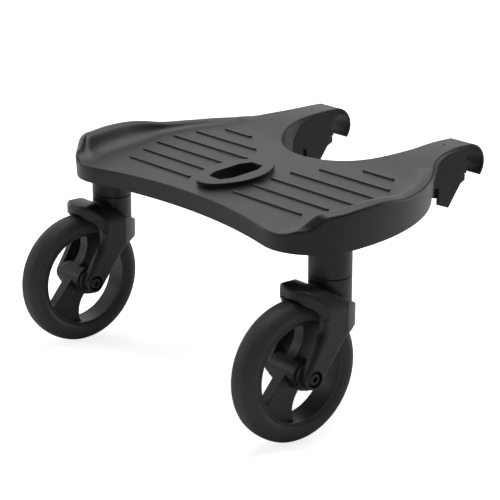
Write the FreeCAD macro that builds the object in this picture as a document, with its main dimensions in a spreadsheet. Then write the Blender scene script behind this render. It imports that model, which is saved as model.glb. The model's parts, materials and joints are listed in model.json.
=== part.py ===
import FreeCAD, Part
import math
import os

import Sketcher

# Buggy board: a dished standing deck on two trailing swivel casters, with two hooked arms
# that drop onto a pushchair's rear axle. Millimetres, +Z up, +Y towards the pushchair,
# origin on the floor under the middle of the board.

# Driving dimensions: alias, value, what it measures
SIZES = [
    ("wheel_radius", 70.0, "tyre outer radius"),
    ("tyre_width", 29.0, "tyre width at its shoulders"),
    ("tyre_depth", 18.5, "tyre thickness over the rim's bed"),
    ("shoulder_depth", 9.5, "tyre's widest line below its outer radius"),
    ("tyre_crown", 14.0, "width of the tyre's flatter crown"),
    ("crown_round", 0.8, "fall of the crown at its edges"),
    ("rim_width", 24.0, "rim width over the tyre bed"),
    ("rim_thickness", 3.0, "thickness of the rim ring"),
    ("web_width", 13.0, "thickness of the two spokes"),
    ("hub_radius", 15.0, "hub outer radius"),
    ("hub_length", 35.0, "hub length along the axle"),
    ("spoke_round", 5.0, "corner radius of the spoke windows"),
    ("axle_radius", 5.0, "axle bolt shank radius"),
    ("axle_tip", 3.0, "axle bolt thread radius"),
    ("tip_length", 7.0, "axle bolt thread length"),
    ("bolt_head", 8.0, "axle bolt head radius"),
    ("head_height", 3.8, "axle bolt head height"),
    ("key_radius", 3.4, "hex socket radius over its corners"),
    ("key_depth", 2.6, "hex socket depth"),
    ("head_recess", 4.5, "depth of the recess for a bolt head"),
    ("bearing_radius", 11.0, "wheel bearing outer radius"),
    ("bearing_width", 7.0, "wheel bearing width"),
    ("spacer_radius", 13.4, "wheel spacer outer radius"),
    ("running_gap", 0.05, "radial clearance of a running fit"),
    ("side_gap", 0.2, "axial clearance beside a turning piece"),
    ("press_gap", 0.02, "clearance between pieces fixed together"),
    ("track", 357.0, "distance between the two swivel axes"),
    ("trail", 45.0, "axle behind the swivel axis"),
    ("stem_radius", 21.0, "radius of fork stem and socket"),
    ("leg_gap", 45.0, "distance between the fork legs"),
    ("leg_thickness", 9.5, "thickness of a fork leg"),
    ("leg_end", 11.0, "radius of the rounded leg end"),
    ("tyre_gap", 3.0, "clearance between tyre and hood"),
    ("hood_thickness", 11.0, "hood thickness over the tyre's top"),
    ("hood_reach", 7.0, "hood tip behind the axle"),
    ("hood_radius", 22.0, "radius of the hood's shoulders"),
    ("hood_curve", 33.0, "radius of the hood's end, seen from above"),
    ("lip_round", 4.0, "rounding of the hood's upper edges"),
    ("brow", 3.5, "bulge of the crown in front of the stem"),
    ("crown_rise", 16.2, "fork top above the tyre's top"),
    ("pin_radius", 6.0, "swivel pin radius"),
    ("pin_depth", 19.0, "swivel pin length inside the fork"),
    ("ring_radius", 9.5, "retaining ring outer radius"),
    ("ring_width", 1.2, "retaining ring thickness"),
    ("ring_groove", 5.2, "radius at the bottom of the ring groove"),
    ("bush_radius", 9.0, "swivel bush outer radius"),
    ("bush_length", 12.0, "swivel bush length below its flange"),
    ("bush_flange", 12.0, "swivel bush flange radius"),
    ("flange_width", 1.5, "swivel bush flange thickness"),
    ("split_gap", 0.8, "open gap between fork and socket"),
    ("socket_length", 28.3, "socket seen below the deck, with the gap"),
    ("socket_rise", 9.0, "socket flange top above the deck's lower edge"),
    ("socket_flange", 4.5, "socket flange thickness"),
    ("ear_reach", 28.0, "socket screws from the swivel axis"),
    ("ear_radius", 6.5, "radius of a socket ear"),
    ("screw_radius", 2.0, "screw shank radius"),
    ("screw_head", 4.0, "screw head radius"),
    ("screw_head_height", 2.4, "screw head height"),
    ("screw_grip", 7.0, "screw length inside the deck"),
    ("arm_grip", 3.2, "arm screw length inside the deck"),
    ("screw_gap", 0.1, "clearance around a screw shank"),
    ("deck_depth", 21.4, "deck lower edge to tread, at the swivel axes"),
    ("tread_tilt", 5.0, "degrees that the tread rises towards the front"),
    ("lower_rise", 7.0, "rise of the deck's lower edge towards the front"),
    ("deck_skin", 4.0, "thickness under the tread"),
    ("deck_wall", 3.2, "thickness of the outer wall"),
    ("deck_draft", 3.0, "outward lean of the wall over its height"),
    ("lobe_radius", 51.5, "radius of the rear lobes"),
    ("lobe_inset", 26.0, "lobe centre inboard of the swivel axis"),
    ("waist", 32.0, "rear edge behind the swivel axes at the middle"),
    ("deck_front", 176.0, "front wall ahead of the swivel axes"),
    ("blend_radius", 84.048, "radius of the blend from a flank into its arm"),
    ("blend_end", 48.36, "end of that blend ahead of the front wall"),
    ("rim_rise", 21.1, "rim top beside the lobes, above the tread at the swivel axes"),
    ("rim_dip", 15.7, "rim top along the flanks, above the tread at the swivel axes"),
    ("rim_setback", 9.0, "rim crest inside the deck's outline"),
    ("rim_slope", 23.0, "width of the rim's inner slope"),
    ("edge_round", 2.5, "rounding of the upper edge"),
    ("tread_rib_height", 1.4, "height of a tread rib"),
    ("tread_rib_width", 3.4, "width of a tread rib"),
    ("tread_rib_pitch", 25.2, "spacing of the tread ribs"),
    ("tread_rib_first", -2.0, "rearmost tread rib ahead of the swivel axes"),
    ("boss_width", 64.0, "width of the raised oval"),
    ("boss_length", 90.0, "length of the raised oval"),
    ("boss_end", 22.0, "end radius of the raised oval"),
    ("boss_centre", 30.0, "middle of the raised oval ahead of the swivel axes"),
    ("boss_height", 5.5, "height of the raised oval above the tread"),
    ("slot_width", 30.0, "width of the post slot"),
    ("slot_length", 56.0, "length of the post slot"),
    ("slot_end", 18.0, "width of the post slot's ends"),
    ("slot_taper", 12.0, "length of the post slot's tapered ends"),
    ("slot_wall", 3.0, "thickness of the wall round the post slot"),
    ("under_rib", 2.5, "thickness of a rib under the deck"),
    ("under_rib_depth", 11.0, "depth of a rib under the deck"),
    ("under_rib_span", 68.0, "spacing of the lengthwise ribs under the deck"),
    ("under_rib_pitch", 42.0, "spacing of the crosswise ribs under the deck"),
    ("arm_spacing", 207.0, "distance between the two hook arms"),
    ("arm_width", 32.0, "width of a hook arm"),
    ("arm_wall", 3.5, "thickness of an arm's side wall"),
    ("arm_web", 4.0, "thickness of an arm's top web"),
    ("arm_band", 1.3, "arm skin standing proud of the arm's side"),
    ("arm_skin", 2.7, "thickness of the arm skin round the hook"),
    ("arm_root", 42.0, "length of an arm inside the deck"),
    ("arm_seat", 4.9, "flat top of an arm's root below the hook bore's axis"),
    ("hook_reach", 251.3, "hook bore ahead of the swivel axes"),
    ("hook_lift", 5.0, "hook bore above the tread at the swivel axes"),
    ("hook_bore", 12.0, "hook bore radius"),
    ("wrap_radius", 21.2, "outer radius of the hook"),
    ("wrap_setback", 6.3, "centre of the hook's outer curve behind the bore"),
    ("wrap_drop", 1.4, "centre of the hook's outer curve below the bore"),
    ("fit_gap", 0.3, "clearance between curved faces"),
    ("latch_travel", 10.0, "latch travel"),
    ("latch_height", 9.6, "height of the latch nose"),
    ("latch_nose", 7.8, "latch nose front behind the bore's axis"),
    ("latch_gap", 0.3, "clearance round the latch"),
    ("latch_tab", 5.0, "thickness of the latch's finger tab"),
    ("notch_width", 12.0, "width of the notch in the arm's walls"),
    ("notch_height", 14.5, "height of the notch in the arm's walls"),
    ("spring_radius", 4.5, "latch spring outer radius"),
    ("spring_wire", 0.9, "latch spring wire thickness"),
    ("dot_radius", 1.3, "small hole in each arm's top"),
    ("dot_setback", 28.0, "small hole behind the hook bore"),
]

doc = FreeCAD.newDocument("BuggyBoard")
sheet = doc.addObject("Spreadsheet::Sheet", "Sizes")
for row, (alias, value, note) in enumerate(SIZES, start=1):
    sheet.set(f"A{row}", note)
    sheet.set(f"B{row}", str(value))
    sheet.setAlias(f"B{row}", alias)
doc.recompute()


class Dim:
    """A length that knows its value and the sheet formula that gives it."""

    def __init__(self, value, formula):
        self.value = value
        self.formula = formula

    def __add__(self, other):
        other = as_dim(other)
        return Dim(self.value + other.value, f"({self.formula} + {other.formula})")

    def __sub__(self, other):
        other = as_dim(other)
        return Dim(self.value - other.value, f"({self.formula} - {other.formula})")

    def __mul__(self, other):
        other = as_dim(other)
        return Dim(self.value * other.value, f"({self.formula} * {other.formula})")

    def __truediv__(self, other):
        other = as_dim(other)
        return Dim(self.value / other.value, f"({self.formula} / {other.formula})")

    def __neg__(self):
        return Dim(-self.value, f"(-{self.formula})")

    def __radd__(self, other):
        return as_dim(other) + self

    def __rsub__(self, other):
        return as_dim(other) - self

    def __rmul__(self, other):
        return as_dim(other) * self


def as_dim(number):
    """Wrap a plain number as a length without a sheet cell."""
    if isinstance(number, Dim):
        return number
    return Dim(float(number), f"({float(number)})")


def root(length):
    """Square root of a length formula."""
    return Dim(math.sqrt(length.value), f"sqrt({length.formula})")


def size(alias):
    """The driving dimension of that name."""
    return Dim(float(getattr(sheet, alias)), f"Sizes.{alias}")


def bind(thing, path, length):
    """Tie a property of an object to a sheet formula."""
    thing.setExpression(path, as_dim(length).formula)


# Heights and places that several pieces share
HALF_TRACK = size("track") / 2
AXLE_Y = -size("trail")
AXLE_Z = size("wheel_radius")
TYRE_BED = size("wheel_radius") - size("tyre_depth")
RIM_INNER = TYRE_BED - size("rim_thickness")
FORK_TOP = size("wheel_radius") * 2 + size("crown_rise")
DECK_BOTTOM = FORK_TOP + size("socket_length")
TREAD = DECK_BOTTOM + size("deck_depth")
CEILING = TREAD - size("deck_skin")
SOCKET_TOP = DECK_BOTTOM + size("socket_rise")
LEG_INNER = size("leg_gap") / 2
LEG_OUTER = LEG_INNER + size("leg_thickness")
HEAD_SEAT = LEG_OUTER - size("head_recess")
HUB_END = size("hub_length") / 2
HALF_ARMS = size("arm_spacing") / 2
HOOK_Y = size("hook_reach")
HOOK_Z = TREAD + size("hook_lift")
ARM_SEAT = HOOK_Z - size("arm_seat")
WRAP_Y = HOOK_Y - size("wrap_setback")
WRAP_Z = HOOK_Z - size("wrap_drop")
ARM_TOP = WRAP_Z + size("wrap_radius")
ARM_END = WRAP_Y + size("wrap_radius") + 5
NOTCH_Y = size("deck_front") + 29
NOTCH_STEP = math.radians(20.0)
SKIN_HALF = size("arm_width") / 2 + size("arm_band")
ARM_OUTER = HALF_ARMS + SKIN_HALF
LOBE_X = HALF_TRACK - size("lobe_inset")
MIDDLE_Y = (WRAP_Y + size("wrap_radius") + AXLE_Y - size("wheel_radius")) / 2
WRAP_END = 42.0  # degrees below level where the hook's wrap ends
SIDES = (("left", -1), ("right", 1))


def new_body(label):
    """An empty body with its own name."""
    body = doc.addObject("PartDesign::Body", label)
    body.Label = label
    return body


def place(thing, x=0, y=0, z=0, turn=0):
    """Put a finished piece in the board's frame."""
    thing.Placement = FreeCAD.Placement(
        FreeCAD.Vector(), FreeCAD.Rotation(FreeCAD.Vector(0, 0, 1), turn))
    bind(thing, "Placement.Base.x", x)
    bind(thing, "Placement.Base.y", as_dim(y) - MIDDLE_Y)
    bind(thing, "Placement.Base.z", z)


def sketch_on(body, role, name, lift=0):
    """A sketch on one of the body's origin planes, lifted along its normal."""
    plane = next(f for f in body.Origin.OriginFeatures if f.Role == role)
    sketch = body.newObject("Sketcher::SketchObject", name)
    sketch.AttachmentSupport = [(plane, "")]
    sketch.MapMode = "FlatFace"
    bind(sketch, "AttachmentOffset.Base.z", lift)
    return sketch


def tilted_on(body, name, lift):
    """A sketch on a plane that slopes with the tread, lifted at the swivel axes."""
    sketch = sketch_on(body, "XY_Plane", name)
    sketch.AttachmentOffset = FreeCAD.Placement(
        FreeCAD.Vector(), FreeCAD.Rotation(FreeCAD.Vector(1, 0, 0), size("tread_tilt").value))
    bind(sketch, "AttachmentOffset.Base.z", lift)
    bind(sketch, "AttachmentOffset.Rotation.Angle", size("tread_tilt"))
    return sketch


def fix_point(rules, ties, geometry, position, u, v):
    """Add the two distances that hold a sketch point."""
    for kind, length in (("DistanceX", u), ("DistanceY", v)):
        ties.append((len(rules), as_dim(length)))
        rules.append(Sketcher.Constraint(kind, -1, 1, geometry, position, as_dim(length).value))


def settle(sketch, rules, ties):
    """Add the constraints and tie their values to the sheet."""
    first = sketch.ConstraintCount
    sketch.addConstraint(rules)
    for index, length in ties:
        sketch.setExpression(f"Constraints[{first + index}]", length.formula)


def bulge_arc(start, end, radius):
    """Arc between two points; a positive radius bulges to the right of the way."""
    way = end - start
    right = FreeCAD.Vector(way.y, -way.x, 0).normalize()
    half = way.Length / 2
    sign = math.copysign(1.0, radius)
    rise = abs(radius) - math.sqrt(max(radius * radius - half * half, 0.0))
    return Part.Arc(start, (start + end) / 2 + right * (sign * rise), end)


def outline(sketch, corners):
    """Closed outline through the corners; a third value makes the edge that leaves a corner an arc."""
    points = [FreeCAD.Vector(as_dim(c[0]).value, as_dim(c[1]).value, 0) for c in corners]
    rules = []
    ties = []
    ends = []
    for index, corner in enumerate(corners):
        start = points[index]
        end = points[(index + 1) % len(points)]
        radius = as_dim(corner[2]) if len(corner) > 2 else None
        if radius is None:
            geometry = sketch.addGeometry(Part.LineSegment(start, end))
            ends.append((geometry, 1, 2))
            continue
        geometry = sketch.addGeometry(bulge_arc(start, end, radius.value))
        ends.append((geometry, 1, 2) if radius.value > 0 else (geometry, 2, 1))
        length = radius if radius.value > 0 else -radius
        ties.append((len(rules), length))
        rules.append(Sketcher.Constraint("Radius", geometry, length.value))
    for index, corner in enumerate(corners):
        geometry, first, _ = ends[index]
        before, _, last = ends[index - 1]
        rules.append(Sketcher.Constraint("Coincident", before, last, geometry, first))
        fix_point(rules, ties, geometry, first, corner[0], corner[1])
    settle(sketch, rules, ties)


def circle(sketch, u, v, radius):
    """Circle with its centre and radius tied to the sheet."""
    radius = as_dim(radius)
    centre = FreeCAD.Vector(as_dim(u).value, as_dim(v).value, 0)
    geometry = sketch.addGeometry(Part.Circle(centre, FreeCAD.Vector(0, 0, 1), radius.value))
    rules = [Sketcher.Constraint("Radius", geometry, radius.value)]
    ties = [(0, radius)]
    fix_point(rules, ties, geometry, 3, u, v)
    settle(sketch, rules, ties)


def rectangle(sketch, low_u, low_v, high_u, high_v):
    """Rectangle between two corners."""
    outline(sketch, [(low_u, low_v), (high_u, low_v), (high_u, high_v), (low_u, high_v)])


def grow(body, kind, sketch, name, length, both=False, back=False):
    """A pad or pocket whose volume has to change."""
    before = body.Shape.Volume if body.Tip else 0.0
    feature = body.newObject(f"PartDesign::{kind}", name)
    feature.Profile = sketch
    bind(feature, "Length", length)
    feature.Midplane = both
    feature.Reversed = back
    doc.recompute()
    if abs(feature.Shape.Volume - before) < 1e-3:
        raise RuntimeError(f"{body.Label}: {name} changed nothing")
    return feature


def pad(body, sketch, name, length, both=False, back=False):
    """Add the sketch's area over a length."""
    return grow(body, "Pad", sketch, name, length, both, back)


def pocket(body, sketch, name, length, both=False, back=False):
    """Cut the sketch's area over a length."""
    return grow(body, "Pocket", sketch, name, length, both, back)


def spin(body, sketch, name, cut=False):
    """Turn the sketch a full turn about its own horizontal axis."""
    feature = body.newObject("PartDesign::Groove" if cut else "PartDesign::Revolution", name)
    feature.Profile = sketch
    feature.ReferenceAxis = (sketch, ["H_Axis"])
    feature.Angle = 360.0
    doc.recompute()
    return feature


def turned(label, profile):
    """A turned piece about X from (along, radius) corners."""
    body = new_body(label)
    sketch = sketch_on(body, "XY_Plane", f"{label}_profile")
    outline(sketch, profile)
    spin(body, sketch, f"{label}_turning")
    return body


def fillet(body, name, radius, wanted):
    """Round the edges of the tip that the test picks."""
    doc.recompute()
    base = body.Tip
    picked = [f"Edge{i}" for i, edge in enumerate(base.Shape.Edges, start=1) if wanted(edge)]
    feature = body.newObject("PartDesign::Fillet", name)
    feature.Base = (base, picked)
    bind(feature, "Radius", radius)
    doc.recompute()
    return feature


def group(label, pieces):
    """Several separate solids as one named piece."""
    bundle = doc.addObject("Part::Compound", label)
    bundle.Label = label
    bundle.Links = pieces
    return bundle


def upright(name, radius, low, high, x=0, y=0):
    """A plain upright cylinder between two heights."""
    cylinder = doc.addObject("Part::Cylinder", name)
    bind(cylinder, "Radius", radius)
    bind(cylinder, "Height", as_dim(high) - low)
    bind(cylinder, "Placement.Base.x", x)
    bind(cylinder, "Placement.Base.y", y)
    bind(cylinder, "Placement.Base.z", low)
    return cylinder


# Wheels


def make_rim(side):
    """Wheel centre: ring, hub and two swept spokes left between two windows."""
    bed = TYRE_BED
    ring = size("rim_width") / 2
    inner = RIM_INNER
    web = size("web_width") / 2
    hub = size("hub_radius")
    cup = size("bearing_radius") + size("press_gap")
    cup_floor = HUB_END - size("bearing_width")
    bore = size("axle_radius") + size("side_gap")
    body = turned(f"{side}_rim", [
        (-HUB_END, cup), (-cup_floor, cup), (-cup_floor, bore), (cup_floor, bore),
        (cup_floor, cup), (HUB_END, cup), (HUB_END, hub), (web, hub), (web, inner),
        (ring, inner), (ring, bed), (-ring, bed), (-ring, inner), (-web, inner),
        (-web, hub), (-HUB_END, hub)])

    def polar(radius, degrees):
        turn = math.radians(degrees)
        return radius * math.cos(turn), radius * math.sin(turn)

    window = sketch_on(body, "YZ_Plane", f"{side}_window")
    near_hub = hub + size("press_gap")
    outline(window, [
        (*polar(inner, 84.0), inner), polar(inner, 215.0),
        (*polar(near_hub, 172.0), -near_hub), (*polar(near_hub, 131.0), inner * 0.62)])
    cut = pocket(body, window, f"{side}_window_cut", size("rim_width"), both=True)
    pattern = body.newObject("PartDesign::PolarPattern", f"{side}_windows")
    pattern.Originals = [cut]
    pattern.Axis = (window, ["N_Axis"])
    pattern.Angle = 360.0
    pattern.Occurrences = 2
    body.Tip = pattern
    doc.recompute()
    corner = RIM_INNER.value

    def window_corner(edge):
        middle = edge.CenterOfMass
        along = abs(edge.tangentAt(edge.FirstParameter).x) > 0.99 and len(edge.Vertexes) == 2
        return along and abs(math.hypot(middle.y, middle.z) - corner) < 0.5

    fillet(body, f"{side}_window_rounds", size("spoke_round"), window_corner)
    return body


def make_tyre(side):
    """Fat round tyre on the rim's bed."""
    bed = TYRE_BED + size("press_gap")
    foot = size("rim_width") / 2
    half = size("tyre_width") / 2
    crown = size("tyre_crown") / 2
    edge = size("wheel_radius") - size("crown_round")
    shoulder = size("wheel_radius") - size("shoulder_depth")
    flank = size("tyre_depth")
    crown_radius = (crown * crown + size("crown_round") * size("crown_round")) / (2 * size("crown_round"))
    return turned(f"{side}_tyre", [
        (-foot, bed), (foot, bed, flank * 0.6), (half, shoulder, flank * 0.72),
        (crown, edge, crown_radius), (-crown, edge, flank * 0.72), (-half, shoulder, flank * 0.6)])


def make_bearings(side):
    """Two ring bearings in the ends of the hub."""
    pieces = []
    bore = size("axle_radius") + size("running_gap")
    for name, start in (("near", HUB_END - size("bearing_width")), ("far", -HUB_END)):
        pieces.append(turned(f"{side}_{name}_bearing", [
            (start, bore), (start + size("bearing_width"), bore),
            (start + size("bearing_width"), size("bearing_radius")), (start, size("bearing_radius"))]))
    return group(f"{side}_wheel_bearings", pieces)


def make_spacers(side):
    """Two rings that keep the hub clear of the fork legs."""
    pieces = []
    bore = size("axle_radius") + size("running_gap")
    start = HUB_END + size("side_gap")
    for name, low, high in (("near", start, LEG_INNER), ("far", -LEG_INNER, -start)):
        pieces.append(turned(f"{side}_{name}_spacer", [
            (low, bore), (high, bore), (high, size("spacer_radius")), (low, size("spacer_radius"))]))
    return group(f"{side}_wheel_spacers", pieces)


def hex_socket(body, name, end, facing):
    """Cut a hex key socket into a round head whose face is at the given place along X."""
    sketch = sketch_on(body, "YZ_Plane", f"{name}_key", end)
    key = size("key_radius")
    turns = [math.radians(60.0 * step) for step in range(6)]
    outline(sketch, [(key * math.cos(turn), key * math.sin(turn)) for turn in turns])
    pocket(body, sketch, f"{name}_key_cut", size("key_depth"), back=facing < 0)


def make_axle(side):
    """Axle bolt from the +X leg, with its round head in the leg's recess."""
    shank = size("axle_radius")
    shank_end = -(HEAD_SEAT - size("tip_length"))
    head_end = HEAD_SEAT + size("head_height")
    body = turned(f"{side}_axle_bolt", [
        (-HEAD_SEAT, 0), (head_end, 0), (head_end, size("bolt_head") * 0.62, size("bolt_head")),
        (HEAD_SEAT + size("press_gap"), size("bolt_head")), (HEAD_SEAT + size("press_gap"), shank),
        (shank_end, shank), (shank_end, size("axle_tip")), (-HEAD_SEAT, size("axle_tip"))])
    hex_socket(body, f"{side}_bolt", head_end, 1)
    return body


def make_nut(side):
    """Sleeve nut on the bolt's thread, with the same round head on the -X leg."""
    sleeve_end = -(HEAD_SEAT - size("tip_length") + size("press_gap"))
    head_end = -(HEAD_SEAT + size("head_height"))
    bore = size("axle_tip") + size("press_gap")
    floor = -(HEAD_SEAT + size("press_gap"))
    body = turned(f"{side}_axle_nut", [
        (head_end, 0), (floor, 0), (floor, bore), (sleeve_end, bore), (sleeve_end, size("axle_radius")),
        (floor, size("axle_radius")), (floor, size("bolt_head"), size("bolt_head")),
        (head_end, size("bolt_head") * 0.62)])
    hex_socket(body, f"{side}_nut", head_end, -1)
    return body


# Forks


def fork_side(sketch):
    """Side view of the fork: crown, two legs in one line, and the hood."""
    stem = size("stem_radius")
    wheel = size("wheel_radius")
    leg = size("leg_end")
    brow = stem + size("brow")
    hood_top = wheel * 2 + size("tyre_gap") + size("hood_thickness")
    end = AXLE_Y - size("hood_reach") - 2

    def beside_leg(degrees, along=0):
        turn = math.radians(degrees)
        return (AXLE_Y + leg * math.cos(turn) - along * math.sin(turn),
                AXLE_Z + leg * math.sin(turn) + along * math.cos(turn))

    def sweep_end(start, radius, first, last):
        first, last = math.radians(first), math.radians(last)
        return (start[0] + radius * (math.sin(last) - math.sin(first)),
                start[1] + radius * (math.cos(first) - math.cos(last)))

    front_lean = -37.2
    rear_lean = 149.5
    sweep = wheel * 0.316
    knee = beside_leg(front_lean, wheel * 0.66)
    chin = sweep_end(knee, sweep, front_lean - 90, 170.0)
    heel = beside_leg(rear_lean, wheel * -0.523)
    lip = sweep_end(heel, sweep, rear_lean - 90, 175.0)
    outline(sketch, [
        (stem * 0.98, AXLE_Z + wheel * 0.81, -30), (brow, AXLE_Z + wheel * 0.66, -13),
        (*chin, sweep), knee, (*beside_leg(front_lean), -leg),
        (*beside_leg((front_lean + rear_lean) / 2 - 180), -leg), beside_leg(rear_lean),
        (*heel, sweep), lip, (end, hood_top - 5, -32),
        (-stem * 0.95, hood_top - 5.5)])


def fork_front(sketch):
    """Front view of the fork: legs that close over the tyre with round shoulders."""
    round_off = size("hood_radius")
    hood_top = size("wheel_radius") * 2 + size("tyre_gap") + size("hood_thickness")
    half = LEG_OUTER - round_off
    far = LEG_OUTER * 2
    rectangle(sketch, -far, 0, far, FORK_TOP * 2)
    outline(sketch, [
        (-LEG_OUTER, 1), (LEG_OUTER, 1), (LEG_OUTER, hood_top - round_off, round_off), (half, hood_top),
        (-half, hood_top, round_off), (-LEG_OUTER, hood_top - round_off)])


def fork_plan(front, rear):
    """Views from above: the round brow in front and the round end of the hood."""
    stem = size("stem_radius")
    far = LEG_OUTER * 2
    cheek_x = stem * 0.5
    cheek_y = stem * 1.09
    outline(front, [
        (-LEG_OUTER, -5, -57), (-cheek_x, cheek_y, -(stem + size("brow"))), (cheek_x, cheek_y, -57),
        (LEG_OUTER, -5), (far, -5), (far, far), (-far, far), (-far, -5)])
    curve = size("hood_curve")
    half = LEG_OUTER
    end = AXLE_Y - size("hood_reach")
    corner = end + curve - root(curve * curve - half * half)
    outline(rear, [
        (-far, corner), (-far, end - far), (far, end - far), (far, corner),
        (half, corner, -curve), (-half, corner)])


def make_fork(side):
    """Caster fork: stem, crown with a brow, arched hood over the tyre and two legs."""
    body = new_body(f"{side}_fork")
    stem = size("stem_radius")
    wheel = size("wheel_radius")
    arch = wheel + size("tyre_gap")
    profile = sketch_on(body, "YZ_Plane", f"{side}_fork_side")
    fork_side(profile)
    pad(body, profile, f"{side}_fork_blank", LEG_OUTER * 2, both=True)

    def leg_edge(edge):
        middle = edge.CenterOfMass
        on_side = abs(abs(middle.x) - LEG_OUTER.value) < 0.01 and edge.BoundBox.XLength < 0.01
        below_crown = middle.z < AXLE_Z.value + wheel.value * 0.6
        return on_side and below_crown and middle.y < AXLE_Y.value + wheel.value * 0.5

    fillet(body, f"{side}_leg_rounds", size("leg_thickness") * 0.4, leg_edge)
    front = sketch_on(body, "XZ_Plane", f"{side}_fork_front")
    fork_front(front)
    pocket(body, front, f"{side}_fork_trim", FORK_TOP * 4, both=True)
    brow = sketch_on(body, "XY_Plane", f"{side}_brow_plan", FORK_TOP + 10)
    rear = sketch_on(body, "XY_Plane", f"{side}_hood_plan", FORK_TOP + 10)
    fork_plan(brow, rear)
    pocket(body, brow, f"{side}_brow_trim", FORK_TOP + 10)
    pocket(body, rear, f"{side}_hood_trim", FORK_TOP + 10 - AXLE_Z - wheel * 0.79)

    def hood_edge(edge):
        middle = edge.valueAt((edge.FirstParameter + edge.LastParameter) / 2)
        return middle.z > AXLE_Z.value + wheel.value + size("tyre_gap").value

    fillet(body, f"{side}_hood_rounds", size("lip_round"), hood_edge)
    post = sketch_on(body, "XY_Plane", f"{side}_stem_circle", FORK_TOP)
    circle(post, 0, 0, stem)
    pad(body, post, f"{side}_stem", size("crown_rise") + size("tyre_gap") + 26, back=True)

    hollow = sketch_on(body, "XY_Plane", f"{side}_wheel_space", AXLE_Z)
    bind(hollow, "AttachmentOffset.Base.y", AXLE_Y)
    outline(hollow, [
        (-LEG_INNER, 0), (LEG_INNER, 0), (LEG_INNER, arch - 16, 18), (LEG_INNER * 0.42, arch),
        (-LEG_INNER * 0.42, arch, 18), (-LEG_INNER, arch - 16)])
    spin(body, hollow, f"{side}_wheel_space_cut", cut=True)

    bore = sketch_on(body, "YZ_Plane", f"{side}_axle_hole")
    circle(bore, AXLE_Y, AXLE_Z, size("axle_radius") + size("press_gap"))
    pocket(body, bore, f"{side}_axle_bore", LEG_OUTER * 3, both=True)
    for name, facing in (("near", 1), ("far", -1)):
        seat = sketch_on(body, "YZ_Plane", f"{side}_{name}_seat", HEAD_SEAT * facing)
        circle(seat, AXLE_Y, AXLE_Z, size("bolt_head") + size("fit_gap"))
        pocket(body, seat, f"{side}_{name}_recess", size("leg_thickness"), back=facing > 0)
    socket = sketch_on(body, "XY_Plane", f"{side}_pin_hole", FORK_TOP)
    circle(socket, 0, 0, size("pin_radius") + size("press_gap"))
    pocket(body, socket, f"{side}_pin_bore", size("pin_depth"))
    return body


def make_swivel_pin(side):
    """Steel pin pressed into the fork, grooved for its retaining ring."""
    low = FORK_TOP - size("pin_depth")
    groove = SOCKET_TOP + size("flange_width") + size("side_gap")
    groove_top = groove + size("ring_width") + size("side_gap")
    top = groove_top + size("ring_width") * 2
    pin = size("pin_radius")
    neck = size("ring_groove")
    body = new_body(f"{side}_swivel_pin")
    sketch = sketch_on(body, "XZ_Plane", f"{side}_pin_profile")
    outline(sketch, [
        (0, low), (pin, low), (pin, groove), (neck, groove), (neck, groove_top), (pin, groove_top),
        (pin, top - 1), (pin - 1, top), (0, top)])
    turning = body.newObject("PartDesign::Revolution", f"{side}_pin_turning")
    turning.Profile = sketch
    turning.ReferenceAxis = (sketch, ["V_Axis"])
    turning.Angle = 360.0
    doc.recompute()
    return body


def upright_ring(label, corners):
    """A ring turned about Z from (radius, height) corners."""
    body = new_body(label)
    sketch = sketch_on(body, "XZ_Plane", f"{label}_profile")
    outline(sketch, corners)
    turning = body.newObject("PartDesign::Revolution", f"{label}_turning")
    turning.Profile = sketch
    turning.ReferenceAxis = (sketch, ["V_Axis"])
    turning.Angle = 360.0
    doc.recompute()
    return body


def make_retaining_ring(side):
    """Ring in the pin's groove, just above the upper bush."""
    low = SOCKET_TOP + size("flange_width") + size("side_gap") * 1.5
    bore = size("ring_groove") + size("press_gap")
    return upright_ring(f"{side}_retaining_ring", [
        (bore, low), (size("ring_radius"), low), (size("ring_radius"), low + size("ring_width")),
        (bore, low + size("ring_width"))])


def make_bushes(side):
    """Two flanged bushes that carry the swivel pin in its socket."""
    bore = size("pin_radius") + size("running_gap")
    wall = size("bush_radius")
    rim = size("bush_flange")
    low = FORK_TOP + size("flange_width")
    lower = upright_ring(f"{side}_lower_bush", [
        (bore, FORK_TOP), (rim, FORK_TOP), (rim, low), (wall, low), (wall, low + size("bush_length")),
        (bore, low + size("bush_length"))])
    top = SOCKET_TOP + size("flange_width")
    upper = upright_ring(f"{side}_upper_bush", [
        (bore, SOCKET_TOP - size("bush_length")), (wall, SOCKET_TOP - size("bush_length")),
        (wall, SOCKET_TOP), (rim, SOCKET_TOP), (rim, top), (bore, top)])
    return group(f"{side}_swivel_bushes", [lower, upper])


def make_socket(side):
    """Round collar under the deck, with three ears that screw to the deck's posts."""
    outer = size("stem_radius")
    cup = size("bush_radius") + size("press_gap")
    low = FORK_TOP + size("split_gap")
    dish = size("bush_flange") + size("fit_gap")
    dish_top = FORK_TOP + size("flange_width")
    body = upright_ring(f"{side}_socket", [
        (dish, low), (outer, low), (outer, SOCKET_TOP), (cup, SOCKET_TOP), (cup, dish_top),
        (dish, dish_top)])
    ear = sketch_on(body, "XY_Plane", f"{side}_ear", SOCKET_TOP - size("socket_flange"))
    half = size("ear_radius")
    inner = size("bush_radius") + size("arm_web")
    reach = size("ear_reach")
    outline(ear, [
        (-half, inner), (half, inner), (half, reach, half), (0, reach + half, half), (-half, reach)])
    lug = pad(body, ear, f"{side}_ear_pad", size("socket_flange"))
    hole = sketch_on(body, "XY_Plane", f"{side}_ear_hole", SOCKET_TOP)
    circle(hole, 0, reach, size("screw_radius") + size("screw_gap"))
    drilled = pocket(body, hole, f"{side}_ear_bore", size("socket_flange"))
    pattern = body.newObject("PartDesign::PolarPattern", f"{side}_ears")
    pattern.Originals = [lug, drilled]
    pattern.Axis = (ear, ["N_Axis"])
    pattern.Mode = "Spacing"
    pattern.Offset = 90.0
    pattern.Occurrences = 3
    body.Tip = pattern
    doc.recompute()
    return body


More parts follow.
